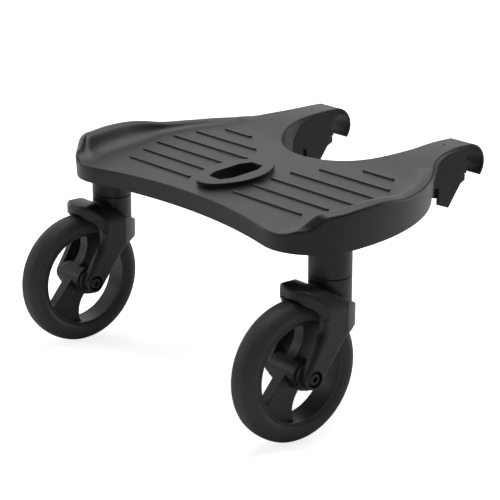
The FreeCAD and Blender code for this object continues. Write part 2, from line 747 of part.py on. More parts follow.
def ear_places(sign):
    """The three socket screw places beside one swivel axis."""
    reach = size("ear_reach")
    centre = HALF_TRACK * sign
    return [(centre - reach * sign, as_dim(0)), (centre, reach), (centre, -reach)]


def screw(name, x, y, seat, length):
    """A pan-head screw driven upwards, its head below the seat."""
    shank = upright(f"{name}_shank", size("screw_radius"), seat, seat + length, x, y)
    head = upright(f"{name}_head", size("screw_head"), seat - size("screw_head_height"), seat, x, y)
    whole = doc.addObject("Part::MultiFuse", name)
    whole.Shapes = [shank, head]
    return whole


def make_socket_screws(side, sign):
    """Three screws up through the socket's ears."""
    seat = SOCKET_TOP - size("socket_flange")
    length = size("socket_flange") + size("screw_grip")
    pieces = [screw(f"{side}_socket_screw_{i}", x, y, seat, length)
              for i, (x, y) in enumerate(ear_places(sign), start=1)]
    return group(f"{side}_socket_screws", pieces)


# Deck


def flank_centre():
    """Place on the middle line of the centre of a flank that touches its lobe and the blend into its arm."""
    across = ARM_OUTER + size("blend_radius")
    ahead = size("deck_front") + size("blend_end")
    reach = size("lobe_radius") + size("blend_radius")
    spare = ahead * ahead - reach * reach
    whole = across * across + spare - LOBE_X * LOBE_X
    return (whole * ahead - reach * root(whole * whole + 4 * LOBE_X * LOBE_X * spare)) / (2 * spare)


FLANK_Y = flank_centre()


def rear_curves(spread):
    """Waist, lobe and flank of the deck's outline, spread outwards by a distance."""
    lobe = size("lobe_radius")
    lobe_x = LOBE_X
    waist = size("waist")
    hollow = (lobe_x * lobe_x + waist * waist - lobe * lobe) / (2 * (lobe - waist))
    flank_y = FLANK_Y
    lean = root(lobe_x * lobe_x + flank_y * flank_y)
    flank = lean + lobe + spread
    share = (hollow - spread) / (hollow + lobe)
    waist_x = lobe_x * share
    waist_y = (waist + hollow) * share - (waist + hollow)
    side_x = lobe_x + (lobe + spread) * lobe_x / lean
    side_y = -((lobe + spread) * flank_y / lean)
    rear = [
        (-waist_x, waist_y, -(hollow - spread)), (waist_x, waist_y, lobe + spread),
        (side_x, side_y, flank)]
    return rear, flank, (-side_x, side_y, lobe + spread)


def flank_at(flank, y):
    """Place on the flank curve of that radius."""
    ahead = y - FLANK_Y
    return root(flank * flank - ahead * ahead)


def blend_start():
    """Place along the board where a flank goes over into the blend."""
    flank = rear_curves(as_dim(0))[1]
    ahead = size("deck_front") + size("blend_end") - FLANK_Y
    return FLANK_Y + ahead * flank / (flank + size("blend_radius"))


def board_outline(sketch, spread):
    """Whole outline with both arms; the arms keep their width and the rest is spread."""
    rear, flank, last = rear_curves(spread)
    join_y = blend_start()
    join_x = flank_at(flank, join_y)
    outer = ARM_OUTER
    notch = HALF_ARMS - SKIN_HALF
    blend = (join_x - outer) / (1 - join_x / flank)
    blend_y = join_y + blend * (join_y - FLANK_Y) / flank
    low_x = notch * math.cos(NOTCH_STEP)
    low_y = NOTCH_Y - notch * math.sin(NOTCH_STEP)
    outline(sketch, rear + [
        (join_x, join_y, -blend), (outer, blend_y), (outer, ARM_END), (notch, ARM_END),
        (notch, NOTCH_Y, -notch), (low_x, low_y, -notch), (-low_x, low_y, -notch), (-notch, NOTCH_Y),
        (-notch, ARM_END), (-outer, ARM_END), (-outer, blend_y, -blend), (-join_x, join_y, flank), last])


def cavity_outline(sketch, wall):
    """Hollow under the deck, a wall's thickness inside the outline."""
    rear, flank, last = rear_curves(-wall)
    front = size("deck_front") - wall
    notch = HALF_ARMS - SKIN_HALF + wall
    notch_x = root(notch * notch - (NOTCH_Y - front) * (NOTCH_Y - front))
    wall_x = flank_at(flank, front)
    outline(sketch, rear + [
        (wall_x, front), (notch_x, front, -notch), (-notch_x, front), (-wall_x, front, flank), last])


def flank_x(y):
    """Half width of the deck's outline at a place along the board."""
    lobe_x = LOBE_X.value
    lobe = size("lobe_radius").value
    flank_y = FLANK_Y.value
    if y < 0:
        return lobe_x + math.sqrt(max(lobe * lobe - y * y, 0.0))
    flank = math.hypot(lobe_x, flank_y) + lobe
    return math.sqrt(max(flank * flank - (y - flank_y) ** 2, 0.0))


def ease(place, start, end):
    """Smooth step from 0 at the start to 1 at the end."""
    share = min(max((place - start) / (end - start), 0.0), 1.0)
    return share * share * (3 - 2 * share)


def form_stations():
    """Cross sections of the dished top: place, floor and rim heights, rim line and slope width."""
    front = size("deck_front").value
    rise = size("rim_rise").value
    dip = size("rim_dip").value
    top = (ARM_TOP - TREAD).value - 0.15
    slope = size("rim_slope").value
    tilt = math.tan(math.radians(size("tread_tilt").value))
    rear = -size("lobe_radius").value
    first = rear * 1.4
    last = HOOK_Y.value + size("wrap_radius").value * 2
    count = 27
    stations = []
    for index in range(count):
        y = first + (last - first) * index / (count - 1)
        tread = tilt * min(y, front)
        floor = tread + (top - tread) * ease(y, front - 51, front + 59)
        low = tilt * rear + 1
        rim = low + (rise - 2.6 - low) * ease(y, rear * 1.12, rear * 0.23) + 2.6 * ease(y, rear * 0.23, 24.0)
        rim -= (rise - dip) * ease(y, 40.0, front * 0.5)
        rim += 2 * ease(y, front * 0.57, front * 0.91) + (top - dip - 2) * ease(y, front - 11, front + 30)
        edge = flank_x(min(max(y, rear * 0.66), front - 24))
        spread = 1 - 0.45 * ease(y, 25.0, front * 0.45) + 0.6 * ease(y, front - 60, front)
        stations.append((y, floor, rim, edge, slope * spread))
    return stations


def form_poles(floor, rim, edge, slope, reach):
    """Control points of one half cross section, from the middle outwards."""
    crest = edge - size("rim_setback").value
    foot = crest - slope
    return [
        (0.0, floor), (foot * 0.55, floor), (foot - 8, floor), (foot, floor),
        (foot + slope * 0.5, floor + (rim - floor) * 0.35), (crest - 4, rim), (crest + 4, rim),
        (edge + 2, rim - 2.5), (edge + 14, rim - 5), (reach, rim - 5)]


def cut_top_form(body):
    """Shape the deck's upper side with a loft through its cross sections."""
    reach = HALF_TRACK.value + size("lobe_radius").value
    lid = TREAD.value + size("wrap_radius").value * 2
    sections = []
    for index, (y, floor, rim, edge, slope) in enumerate(form_stations()):
        half = [FreeCAD.Vector(x, TREAD.value + z, 0) for x, z in form_poles(floor, rim, edge, slope, reach)]
        poles = [FreeCAD.Vector(-p.x, p.y, 0) for p in reversed(half[1:])] + half
        curve = Part.BSplineCurve()
        curve.buildFromPoles(poles, False, 3)
        section = sketch_on(body, "XZ_Plane", f"form_section_{index}", -y)
        corners = [poles[-1], FreeCAD.Vector(reach, lid, 0), FreeCAD.Vector(-reach, lid, 0), poles[0]]
        section.addGeometry(curve)
        for start, end in zip(corners, corners[1:]):
            section.addGeometry(Part.LineSegment(start, end))
        sections.append(section)
    form = body.newObject("PartDesign::SubtractiveLoft", "top_form")
    form.Profile = sections[0]
    form.Sections = sections[1:]
    doc.recompute()


def skin_line(gap):
    """Under side of the arm skin and inside of the hook's wrap, moved inwards by a gap."""
    inner = size("wrap_radius") - size("arm_skin") - gap
    front = size("deck_front")
    end = math.radians(WRAP_END)
    return inner, [
        (front, ARM_SEAT), (front + 14, ARM_TOP - 9 - gap), (front + 30, ARM_TOP - 5 - gap),
        (WRAP_Y, WRAP_Z + inner, -inner),
        (WRAP_Y + inner * math.cos(end), WRAP_Z - inner * math.sin(end))]


def tread_ribs(sketch):
    """Outlines of the straight ribs on both halves of the tread."""
    half = size("tread_rib_width") / 2
    round_end = half * 1.1
    insets = (40.5, 30.5, 21.5, 17.5, 25.5, 45.5)
    starts = (36.0, 36.0, 36.0, 36.0, 52.0, 90.0)
    for row, (start, inset) in enumerate(zip(starts, insets)):
        y = size("tread_rib_first") + size("tread_rib_pitch") * row
        for sign in (-1, 1):
            ends = (as_dim(start * sign), (HALF_TRACK - inset) * sign)
            low, high = sorted(ends, key=lambda end: end.value)
            outline(sketch, [
                (low, y - half), (high, y - half, round_end), (high, y + half), (low, y + half, round_end)])


def oval(sketch, width, length, end, centre):
    """Four-arc oval, long along the board."""
    half = width / 2
    run = length / 2 - end
    offset = (run * run - (half - end) * (half - end)) / (2 * (half - end))
    stretch = half - end + offset
    u = end * offset / stretch
    v = run + end * run / stretch
    side = half + offset
    outline(sketch, [
        (u, centre - v, side), (u, centre + v, end), (-u, centre + v, side), (-u, centre - v, end)])


def slot_corners(spread):
    """Long hexagonal slot, spread outwards by a distance."""
    half = size("slot_width") / 2 + spread
    end = size("slot_end") / 2 + spread * 0.6
    run = size("slot_length") / 2 + spread
    straight = run - size("slot_taper")
    centre = size("boss_centre")
    return [
        (-end, centre - run), (end, centre - run), (half, centre - straight), (half, centre + straight),
        (end, centre + run), (-end, centre + run), (-half, centre + straight), (-half, centre - straight)]


def arm_screw_places(sign):
    """Screw places through one arm's root."""
    front = size("deck_front")
    return [(HALF_ARMS * sign, front - 14), (HALF_ARMS * sign, front - 31)]


def round_brim(body):
    """Round the upper edge all round, where the dished top meets the walls."""
    form = max(body.Tip.Shape.Faces, key=lambda face: face.Area if "BSpline" in face.Surface.TypeId else 0.0)
    brim = [edge for wire in form.Wires for edge in wire.Edges]
    fillet(body, "brim_round", size("edge_round"), lambda edge: any(edge.isSame(other) for other in brim))


def make_deck():
    """Moulded deck: walls, dished top, arm skins, tread, post slot and under-side ribs."""
    body = new_body("deck")
    low = sketch_on(body, "XY_Plane", "deck_foot", DECK_BOTTOM)
    board_outline(low, as_dim(0))
    high = sketch_on(body, "XY_Plane", "deck_brim", ARM_TOP + 4)
    board_outline(high, size("deck_draft"))
    walls = body.newObject("PartDesign::AdditiveLoft", "deck_block")
    walls.Profile = low
    walls.Sections = [high]
    doc.recompute()
    cut_top_form(body)
    round_brim(body)

    inner, line = skin_line(as_dim(0))
    wrap = size("wrap_radius")
    end = math.radians(WRAP_END)
    below = DECK_BOTTOM - 40
    beyond = ARM_END + 10
    side = sketch_on(body, "YZ_Plane", "arm_under_side")
    outline(side, [(size("deck_front"), below)] + line + [
        (WRAP_Y + wrap * math.cos(end), WRAP_Z - wrap * math.sin(end), wrap), (WRAP_Y, WRAP_Z + wrap),
        (WRAP_Y, ARM_TOP + 12), (beyond, ARM_TOP + 12), (beyond, below)])
    pocket(body, side, "arm_under_cut", size("track") * 2, both=True)

    cut_cavity(body)
    boss = tilted_on(body, "boss_oval", TREAD - 1)
    oval(boss, size("boss_width"), size("boss_length"), size("boss_end"), size("boss_centre"))
    pad(body, boss, "boss", size("boss_height") + 1)
    ribs = tilted_on(body, "tread_rib_lines", TREAD - 1)
    tread_ribs(ribs)
    pad(body, ribs, "tread_ribs", size("tread_rib_height") + 1)

    under_ribs(body)
    collar = sketch_on(body, "XY_Plane", "slot_collar", TREAD + size("boss_height") / 2)
    outline(collar, slot_corners(size("slot_wall")))
    pad(body, collar, "slot_collar_wall", size("deck_depth") + size("boss_height") / 2 - 1, back=True)
    slot = sketch_on(body, "XY_Plane", "post_slot", TREAD + size("boss_height") * 3)
    outline(slot, slot_corners(as_dim(0)))
    pocket(body, slot, "post_slot_cut", size("deck_depth") * 3)

    posts = sketch_on(body, "XY_Plane", "socket_posts", SOCKET_TOP)
    for _, sign in SIDES:
        for x, y in ear_places(sign):
            circle(posts, x, y, size("screw_head") + 1)
    pad(body, posts, "socket_post_pads", CEILING + size("deck_skin") * 0.75 - SOCKET_TOP)
    pilots = sketch_on(body, "XY_Plane", "screw_pilots", SOCKET_TOP)
    for _, sign in SIDES:
        for x, y in ear_places(sign):
            circle(pilots, x, y, size("screw_radius") + size("press_gap"))
    pocket(body, pilots, "socket_pilot_holes", size("screw_grip") + 1, back=True)
    arm_pilots = sketch_on(body, "XY_Plane", "arm_pilots", ARM_SEAT)
    for _, sign in SIDES:
        for x, y in arm_screw_places(sign):
            circle(arm_pilots, x, y, size("screw_radius") + size("press_gap"))
    pocket(body, arm_pilots, "arm_pilot_holes", size("arm_grip") + size("fit_gap"), back=True)
    dots = sketch_on(body, "XY_Plane", "arm_dots", ARM_TOP + 5)
    for _, sign in SIDES:
        circle(dots, HALF_ARMS * sign, HOOK_Y - size("dot_setback"), size("dot_radius"))
    pocket(body, dots, "arm_dot_holes", size("arm_skin") + 6.5)
    return body


def cut_cavity(body):
    """Hollow the deck from below, with a ceiling that slopes with the tread and a seat for each arm."""
    lift = sketch_on(body, "YZ_Plane", "lower_edge")
    outline(lift, [
        (0, DECK_BOTTOM - 1), (0, DECK_BOTTOM), (size("deck_front") + 2, DECK_BOTTOM + size("lower_rise")),
        (size("deck_front") + 2, DECK_BOTTOM - 1)])
    pocket(body, lift, "lower_edge_cut", size("track") * 2, both=True)
    mouth = sketch_on(body, "XY_Plane", "cavity_mouth", DECK_BOTTOM - 1)
    cavity_outline(mouth, size("deck_wall"))
    ceiling = tilted_on(body, "cavity_ceiling", CEILING)
    cavity_outline(ceiling, size("deck_wall"))
    cavity = body.newObject("PartDesign::SubtractiveLoft", "deck_cavity")
    cavity.Profile = mouth
    cavity.Sections = [ceiling]
    doc.recompute()
    front = size("deck_front")
    half = size("arm_width") / 2 + size("fit_gap")
    seats = sketch_on(body, "XY_Plane", "arm_seats", ARM_SEAT)
    gates = sketch_on(body, "XY_Plane", "arm_gates", DECK_BOTTOM - 1)
    for sign in (-1, 1):
        low, high = sorted((HALF_ARMS * sign - half, HALF_ARMS * sign + half), key=lambda d: d.value)
        rectangle(seats, low, front - size("arm_root") - 2, high, front - 1)
        rectangle(gates, low, front - size("deck_wall") * 3, high, front + size("deck_wall"))
    pad(body, seats, "arm_seat_pads", size("arm_skin") * 3)
    pocket(body, gates, "arm_gate_cut", ARM_SEAT - DECK_BOTTOM + 1, back=True)


def under_ribs(body):
    """Crossing ribs under the tread, clear of the sockets and the arms."""
    half = size("under_rib") / 2
    span = size("under_rib_span")
    depth = size("under_rib_depth") + 1
    long_way = tilted_on(body, "long_ribs", CEILING + 1)
    for column in (-2, -1, 1, 2):
        rear = -(size("waist") + abs(column) * 6 - 1)
        front = size("deck_front") - 60
        rectangle(long_way, span * column - half, rear, span * column + half, front)
    pad(body, long_way, "long_rib_pads", depth, back=True)
    cross_way = tilted_on(body, "cross_ribs", CEILING + 1)
    for row in range(-1, 3):
        y = size("boss_centre") + size("under_rib_pitch") * row
        rectangle(cross_way, -(span * 2), y - half, span * 2, y + half)
    pad(body, cross_way, "cross_rib_pads", depth, back=True)


# Arms and latches


def latch_heights():
    """Lower and upper height of the latch, under the lip behind the hook's bore."""
    top = HOOK_Z - size("hook_bore") + 0.9
    return top - size("latch_height") - 2, top


def make_arm(side):
    """Channel-shaped hook arm under the deck's skin, with rails and a spring seat for its latch."""
    body = new_body(f"{side}_arm")
    inner, line = skin_line(size("fit_gap"))
    bore = size("hook_bore")
    front = size("deck_front")
    rear = front - size("arm_root")
    low, high = latch_heights()
    lip = high + size("latch_gap")
    mouth = HOOK_Y - bore * 0.8
    brow = front + 58.5
    tip = math.radians(50.0)
    tip_y = WRAP_Y + inner * math.cos(tip)
    tip_z = WRAP_Z + inner * math.sin(tip)
    crown = math.radians(67.0)
    profile = sketch_on(body, "YZ_Plane", f"{side}_arm_side")
    outline(profile, [
        (rear, ARM_SEAT - 16), (rear, ARM_SEAT), (front, ARM_SEAT)] + line[1:4] + [
        (tip_y, tip_z), (HOOK_Y + bore * math.cos(crown), HOOK_Z + bore * math.sin(crown), bore),
        (mouth, HOOK_Z - bore * 0.6), (mouth, lip), (brow, lip), (brow, low + 3.5),
        (front + 40.5, DECK_BOTTOM - 17.5), (front + 14, DECK_BOTTOM - 7.5), (front - 7, DECK_BOTTOM)])
    pad(body, profile, f"{side}_arm_blank", size("arm_width"), both=True)

    room = size("arm_width") - size("arm_wall") * 2
    web = size("arm_web")
    back = HOOK_Y - bore - web * 2
    channel = sketch_on(body, "YZ_Plane", f"{side}_arm_channel")
    outline(channel, [
        (rear - 1, DECK_BOTTOM - 30), (rear - 1, ARM_SEAT - web), (front - 2, ARM_SEAT - web),
        (front + 12, ARM_TOP - 9 - web), (front + 28, ARM_TOP - 5 - web * 1.2),
        (back, ARM_TOP - 5 - web * 1.2),
        (back, lip + web), (back + web, lip), (HOOK_Y, lip), (HOOK_Y, DECK_BOTTOM - 30)])
    pocket(body, channel, f"{side}_arm_channel_cut", room, both=True)

    notch_y = front + 14
    notch_end = notch_y + size("notch_width")
    seat = sketch_on(body, "YZ_Plane", f"{side}_spring_seat")
    rectangle(seat, front - 2, low - 2, front + 2, ARM_SEAT - web + 1)
    pad(body, seat, f"{side}_spring_wall", room + 1, both=True)
    for name, facing in (("near", 1), ("far", -1)):
        rail = sketch_on(body, "YZ_Plane", f"{side}_{name}_rail", room * facing / 2)
        rectangle(rail, notch_end + 3, low - size("latch_gap") - 2.5, brow - 4, low - size("latch_gap"))
        pad(body, rail, f"{side}_{name}_rail_pad", size("arm_wall"), back=facing > 0)
    notch = sketch_on(body, "YZ_Plane", f"{side}_arm_notch")
    rectangle(notch, notch_y, DECK_BOTTOM - 30, notch_end, DECK_BOTTOM - 8 + size("notch_height"))
    pocket(body, notch, f"{side}_arm_notch_cut", size("arm_width") * 2, both=True)
    holes = sketch_on(body, "XY_Plane", f"{side}_arm_holes", ARM_SEAT)
    for _, y in arm_screw_places(1):
        circle(holes, 0, y, size("screw_radius") + size("screw_gap"))
    pocket(body, holes, f"{side}_arm_screw_holes", web)
    return body


def make_latch(side):
    """Sliding latch: a nose that narrows the hook's mouth, a body and a finger tab."""
    body = new_body(f"{side}_latch")
    low, high = latch_heights()
    nose = HOOK_Y - size("latch_nose")
    tab = size("deck_front") + 14 + size("notch_width") + 2.5
    rear = tab - size("latch_tab")
    profile = sketch_on(body, "YZ_Plane", f"{side}_latch_side")
    outline(profile, [
        (rear, low - 9), (tab, low - 9), (tab, low), (nose - 7, low), (nose, low + 3.5),
        (nose, high - 1.5, -1.5), (nose - 1.5, high), (rear, high)])
    pad(body, profile, f"{side}_latch_block",
        size("arm_width") - size("arm_wall") * 2 - size("latch_gap") * 2, both=True)
    return body


def make_spring(side):
    """Latch spring between the arm's seat wall and the latch, drawn as a plain sleeve."""
    low, high = latch_heights()
    body = new_body(f"{side}_latch_spring")
    start = size("deck_front") + 2
    end = size("deck_front") + 14 + size("notch_width") + 2.5 - size("latch_tab")
    sketch = sketch_on(body, "XZ_Plane", f"{side}_spring_ring", -start)
    circle(sketch, 0, (low + high) / 2, size("spring_radius"))
    circle(sketch, 0, (low + high) / 2, size("spring_radius") - size("spring_wire"))
    pad(body, sketch, f"{side}_spring_sleeve", end - start, back=True)
    return body


def make_arm_screws(side, sign):
    """Two screws up through the arm's root into the deck."""
    seat = ARM_SEAT - size("arm_web")
    length = size("arm_web") + size("arm_grip")
    pieces = [screw(f"{side}_arm_screw_{i}", x, y, seat, length)
              for i, (x, y) in enumerate(arm_screw_places(sign), start=1)]
    return group(f"{side}_arm_screws", pieces)


def finish(pieces):
    """Check every object, then write one file for each piece."""
    doc.recompute()
    for thing in doc.Objects:
        if "Invalid" in thing.State or "Error" in thing.State:
            raise RuntimeError(f"{thing.Label} failed: {thing.State}")
    os.makedirs("parts", exist_ok=True)
    for piece in pieces:
        shape = piece.Shape
        if shape.isNull() or not shape.isValid():
            raise RuntimeError(f"{piece.Label} has no valid shape")
        shape.exportStep(f"parts/{piece.Label}.step")


def build():
    """Make every piece and put it in its place."""
    pieces = [make_deck()]
    place(pieces[0])
    for side, sign in SIDES:
        swivel_x = HALF_TRACK * sign
        for make in (make_rim, make_tyre, make_bearings, make_spacers, make_axle, make_nut):
            piece = make(side)
            place(piece, swivel_x, AXLE_Y, AXLE_Z)
            pieces.append(piece)
        for make in (make_fork, make_swivel_pin, make_retaining_ring, make_bushes):
            piece = make(side)
            place(piece, swivel_x)
            pieces.append(piece)
        socket = make_socket(side)
        place(socket, swivel_x, turn=0 if sign > 0 else 180)
        pieces.append(socket)
        for make in (make_arm, make_latch, make_spring):
            piece = make(side)
            place(piece, HALF_ARMS * sign)
            pieces.append(piece)
        for make in (make_socket_screws, make_arm_screws):
            piece = make(side, sign)
            place(piece)
            pieces.append(piece)
    return pieces


finish(build())
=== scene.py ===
"""Studio scene of a pushchair buggy board: moulded deck, hook arms and two swivel casters."""
import json
import logging
import math
from dataclasses import dataclass
from enum import Enum
from typing import Any, Sequence, Union

import bpy
from mathutils import Matrix, Vector


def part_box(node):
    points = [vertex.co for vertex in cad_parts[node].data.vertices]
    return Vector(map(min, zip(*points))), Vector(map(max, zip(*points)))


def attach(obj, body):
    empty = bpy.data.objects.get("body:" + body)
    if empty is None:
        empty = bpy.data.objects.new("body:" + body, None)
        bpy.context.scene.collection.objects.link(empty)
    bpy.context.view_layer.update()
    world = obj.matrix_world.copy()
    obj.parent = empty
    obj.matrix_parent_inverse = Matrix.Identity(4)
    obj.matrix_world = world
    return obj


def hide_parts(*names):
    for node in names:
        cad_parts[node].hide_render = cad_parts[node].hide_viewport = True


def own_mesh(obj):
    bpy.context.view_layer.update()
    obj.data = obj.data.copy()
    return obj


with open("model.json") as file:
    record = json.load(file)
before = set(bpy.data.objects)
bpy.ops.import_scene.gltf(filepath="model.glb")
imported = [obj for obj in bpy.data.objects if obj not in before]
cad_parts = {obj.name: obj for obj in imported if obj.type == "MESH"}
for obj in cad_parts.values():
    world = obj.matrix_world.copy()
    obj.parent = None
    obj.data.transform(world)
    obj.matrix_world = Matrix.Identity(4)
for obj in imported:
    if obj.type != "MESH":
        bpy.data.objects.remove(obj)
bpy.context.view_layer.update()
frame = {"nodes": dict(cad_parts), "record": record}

LOG = logging.getLogger("buggy_board")
SIDES = ("left", "right")

Number = Union[int, float]


class Value:
    """A shader socket that can be used in plain arithmetic."""

    def __init__(self, web: "ShaderWeb", socket: bpy.types.NodeSocket) -> None:
        """Wrap one output socket of a shader web."""
        self.web = web
        self.socket = socket

    def __add__(self, other: Union["Value", Number]) -> "Value":
        """Sum of two values."""
        return self.web.maths("ADD", self, other)

    def __radd__(self, other: Number) -> "Value":
        """Sum with a number on the left."""
        return self.web.maths("ADD", other, self)

    def __sub__(self, other: Union["Value", Number]) -> "Value":
        """Difference of two values."""
        return self.web.maths("SUBTRACT", self, other)

    def __rsub__(self, other: Number) -> "Value":
        """Difference with a number on the left."""
        return self.web.maths("SUBTRACT", other, self)

    def __mul__(self, other: Union["Value", Number]) -> "Value":
        """Product of two values."""
        return self.web.maths("MULTIPLY", self, other)

    def __rmul__(self, other: Number) -> "Value":
        """Product with a number on the left."""
        return self.web.maths("MULTIPLY", other, self)


class ShaderWeb:
    """The node tree of one material or world, with one way to add a node."""

    def __init__(self, tree: bpy.types.NodeTree) -> None:
        """Start from an empty node tree."""
        self.tree = tree
        tree.nodes.clear()

    def node(self, kind: str, settings: dict[str, Any], inputs: dict[Any, Any]) -> bpy.types.Node:
        """Add a node.

        Args:
            kind: Blender's node type.
            settings: Node properties, set first; "stops" holds a ramp's places and greys.
            inputs: Socket names or numbers with their values or links.

        Returns:
            The new node.
        """
        made = self.tree.nodes.new(kind)
        for name, value in settings.items():
            if name == "stops":
                self._set_stops(made, value)
            else:
                setattr(made, name, value)
        for name, value in inputs.items():
            if isinstance(value, Value):
                self.tree.links.new(value.socket, made.inputs[name])
            else:
                made.inputs[name].default_value = value
        return made

    @staticmethod
    def _set_stops(ramp: bpy.types.Node, stops: Sequence[tuple[float, float]]) -> None:
        """Give a colour ramp grey stops at the given places."""
        elements = ramp.color_ramp.elements
        while len(elements) < len(stops):
            elements.new(0.5)
        for element, (place, grey) in zip(elements, stops):
            element.position = place
            element.color = (grey, grey, grey, 1.0)

    def out(self, made: bpy.types.Node, name: Union[str, int] = 0) -> Value:
        """One output of a node as a value."""
        return Value(self, made.outputs[name])

    def maths(self, operation: str, left: Union[Value, Number], right: Union[Value, Number]) -> Value:
        """Add a Math node for two values or numbers."""
        return self.out(self.node("ShaderNodeMath", {"operation": operation}, {0: left, 1: right}))

    def place(self) -> Value:
        """The point on the piece, in metres."""
        return self.out(self.node("ShaderNodeTexCoord", {}, {}), "Object")

    def noise(self, scale: float, detail: float = 2.0, roughness: float = 0.5) -> Value:
        """Even noise over the piece.

        Args:
            scale: Grains to a metre.
            detail: Layers of finer noise.
            roughness: Weight of the finer layers.

        Returns:
            A value from 0 to 1.
        """
        made = self.node("ShaderNodeTexNoise", {}, {
            "Vector": self.place(), "Scale": scale, "Detail": detail, "Roughness": roughness})
        return self.out(made, "Fac" if "Fac" in made.outputs else 0)

    def surface(self, shader: bpy.types.Node) -> None:
        """Make a shader the surface of the material."""
        output = self.node("ShaderNodeOutputMaterial", {}, {})
        self.tree.links.new(shader.outputs[0], output.inputs["Surface"])


class Grain(Enum):
    """How coarse a moulding's texture is, in grains to a metre."""

    FINE = 2600.0
    EVEN = 1700.0
    COARSE = 1100.0


@dataclass(frozen=True)
class Moulding:
    """A moulded plastic or rubber finish with a grain and slight unevenness."""

    name: str
    colour: tuple[float, float, float]
    roughness: float
    grain: Grain
    depth: float
    edge: float = 0.0006
    variation: float = 0.12
    specular: float = 0.5
    drift_scale: float = 14.0
    drift_gloss: float = 0.1
    darkest: float = 0.8
    lightest: float = 1.2

    def make(self) -> bpy.types.Material:
        """Build the material.

        Returns:
            The finished material.
        """
        material = bpy.data.materials.new(self.name)
        material.use_nodes = True
        web = ShaderWeb(material.node_tree)
        drift = web.noise(self.drift_scale, 3.0)
        grain = web.noise(self.grain.value, 2.0)
        tone = (drift - 0.5) * self.variation + (grain - 0.5) * (self.variation * 0.5)
        mix = web.node("ShaderNodeMix", {"data_type": "RGBA"}, {
            0: tone + 0.5,
            6: (*[part * self.darkest for part in self.colour], 1.0),
            7: (*[part * self.lightest for part in self.colour], 1.0)})
        edge = web.node("ShaderNodeBevel", {"samples": 6}, {"Radius": self.edge})
        bump = web.node("ShaderNodeBump", {}, {
            "Strength": 1.0, "Distance": self.depth, "Height": grain, "Normal": web.out(edge)})
        rough = (drift - 0.5) * self.drift_gloss + self.roughness
        skin = web.node("ShaderNodeBsdfPrincipled", {}, {
            "Base Color": web.out(mix, 2), "Roughness": rough, "Normal": web.out(bump),
            "Specular IOR Level": self.specular})
        web.surface(skin)
        return material


@dataclass(frozen=True)
class Steel:
    """A metal finish, bright or coated."""

    name: str
    colour: tuple[float, float, float]
    roughness: float
    metallic: float = 1.0
    drift_scale: float = 160.0
    drift_gloss: float = 0.12

    def make(self) -> bpy.types.Material:
        """Build the material.

        Returns:
            The finished material.
        """
        material = bpy.data.materials.new(self.name)
        material.use_nodes = True
        web = ShaderWeb(material.node_tree)
        drift = web.noise(self.drift_scale, 2.0)
        skin = web.node("ShaderNodeBsdfPrincipled", {}, {
            "Base Color": (*self.colour, 1.0), "Metallic": self.metallic,
            "Roughness": (drift - 0.5) * self.drift_gloss + self.roughness})
        web.surface(skin)
        return material


FINISHES = {
    "deck": Moulding(
        "deck_plastic", (0.011, 0.011, 0.0113), 0.37, Grain.EVEN, 0.00013, edge=0.0012, specular=0.42),
    "arm": Moulding("arm_plastic", (0.005, 0.005, 0.0053), 0.46, Grain.EVEN, 0.00008, specular=0.4),
    "latch": Moulding("latch_plastic", (0.010, 0.010, 0.0105), 0.42, Grain.FINE, 0.00004),
    "socket": Moulding("socket_plastic", (0.013, 0.013, 0.0135), 0.42, Grain.FINE, 0.00005),
    "fork": Moulding("fork_plastic", (0.012, 0.012, 0.0124), 0.4, Grain.FINE, 0.00005, edge=0.002),
    "rim": Moulding("rim_plastic", (0.013, 0.013, 0.014), 0.42, Grain.FINE, 0.00004, edge=0.0009),
    "tyre": Moulding("tyre_rubber", (0.036, 0.036, 0.036), 0.56, Grain.COARSE, 0.00008, specular=0.45),
    "spacer": Moulding("spacer_plastic", (0.016, 0.016, 0.016), 0.42, Grain.FINE, 0.00004),
    "bush": Moulding("bush_plastic", (0.06, 0.06, 0.06), 0.4, Grain.FINE, 0.00003),
    "bolt": Steel("coated_bolt", (0.03, 0.03, 0.032), 0.3, 0.6),
    "steel": Steel("bright_steel", (0.55, 0.55, 0.56), 0.3),
    "spring_steel": Steel("spring_steel", (0.42, 0.42, 0.43), 0.34),
}


class Dresser:
    """Gives pieces their finishes, by the record's slots."""

    def __init__(self) -> None:
        """Make each finish once and note each node's slot."""
        self.materials = {slot: finish.make() for slot, finish in FINISHES.items()}
        self.slots = {row["node"]: row["material_slot"] for row in frame["record"]["subparts"]}

    def dress(self, thing: bpy.types.Object, slot: str) -> None:
        """Put a slot's finish on every face of a piece.

        Args:
            thing: The piece.
            slot: The record's material slot.
        """
        thing.data.materials.clear()
        thing.data.materials.append(self.materials[slot])

    def dress_node(self, name: str) -> None:
        """Put its own finish on a CAD node.

        Args:
            name: The node's name.
        """
        self.dress(frame["nodes"][name], self.slots[name])
        LOG.info("dressed %s as %s", name, self.slots[name])


@dataclass
class Subassembly:
    """Pieces of the frame that are dressed and finished together."""

    dresser: Dresser

    def nodes(self) -> tuple[str, ...]:
        """The CAD nodes of this sub-assembly.

        Returns:
            Their names.
        """
        raise NotImplementedError

    def build(self) -> None:
        """Dress every node of the sub-assembly."""
        for name in self.nodes():
            self.dresser.dress_node(name)


@dataclass
class Deck(Subassembly):
    """The moulded standing deck with its arm skins."""

    def nodes(self) -> tuple[str, ...]:
        """The deck's one node.

        Returns:
            Its name.
        """
        return ("deck",)


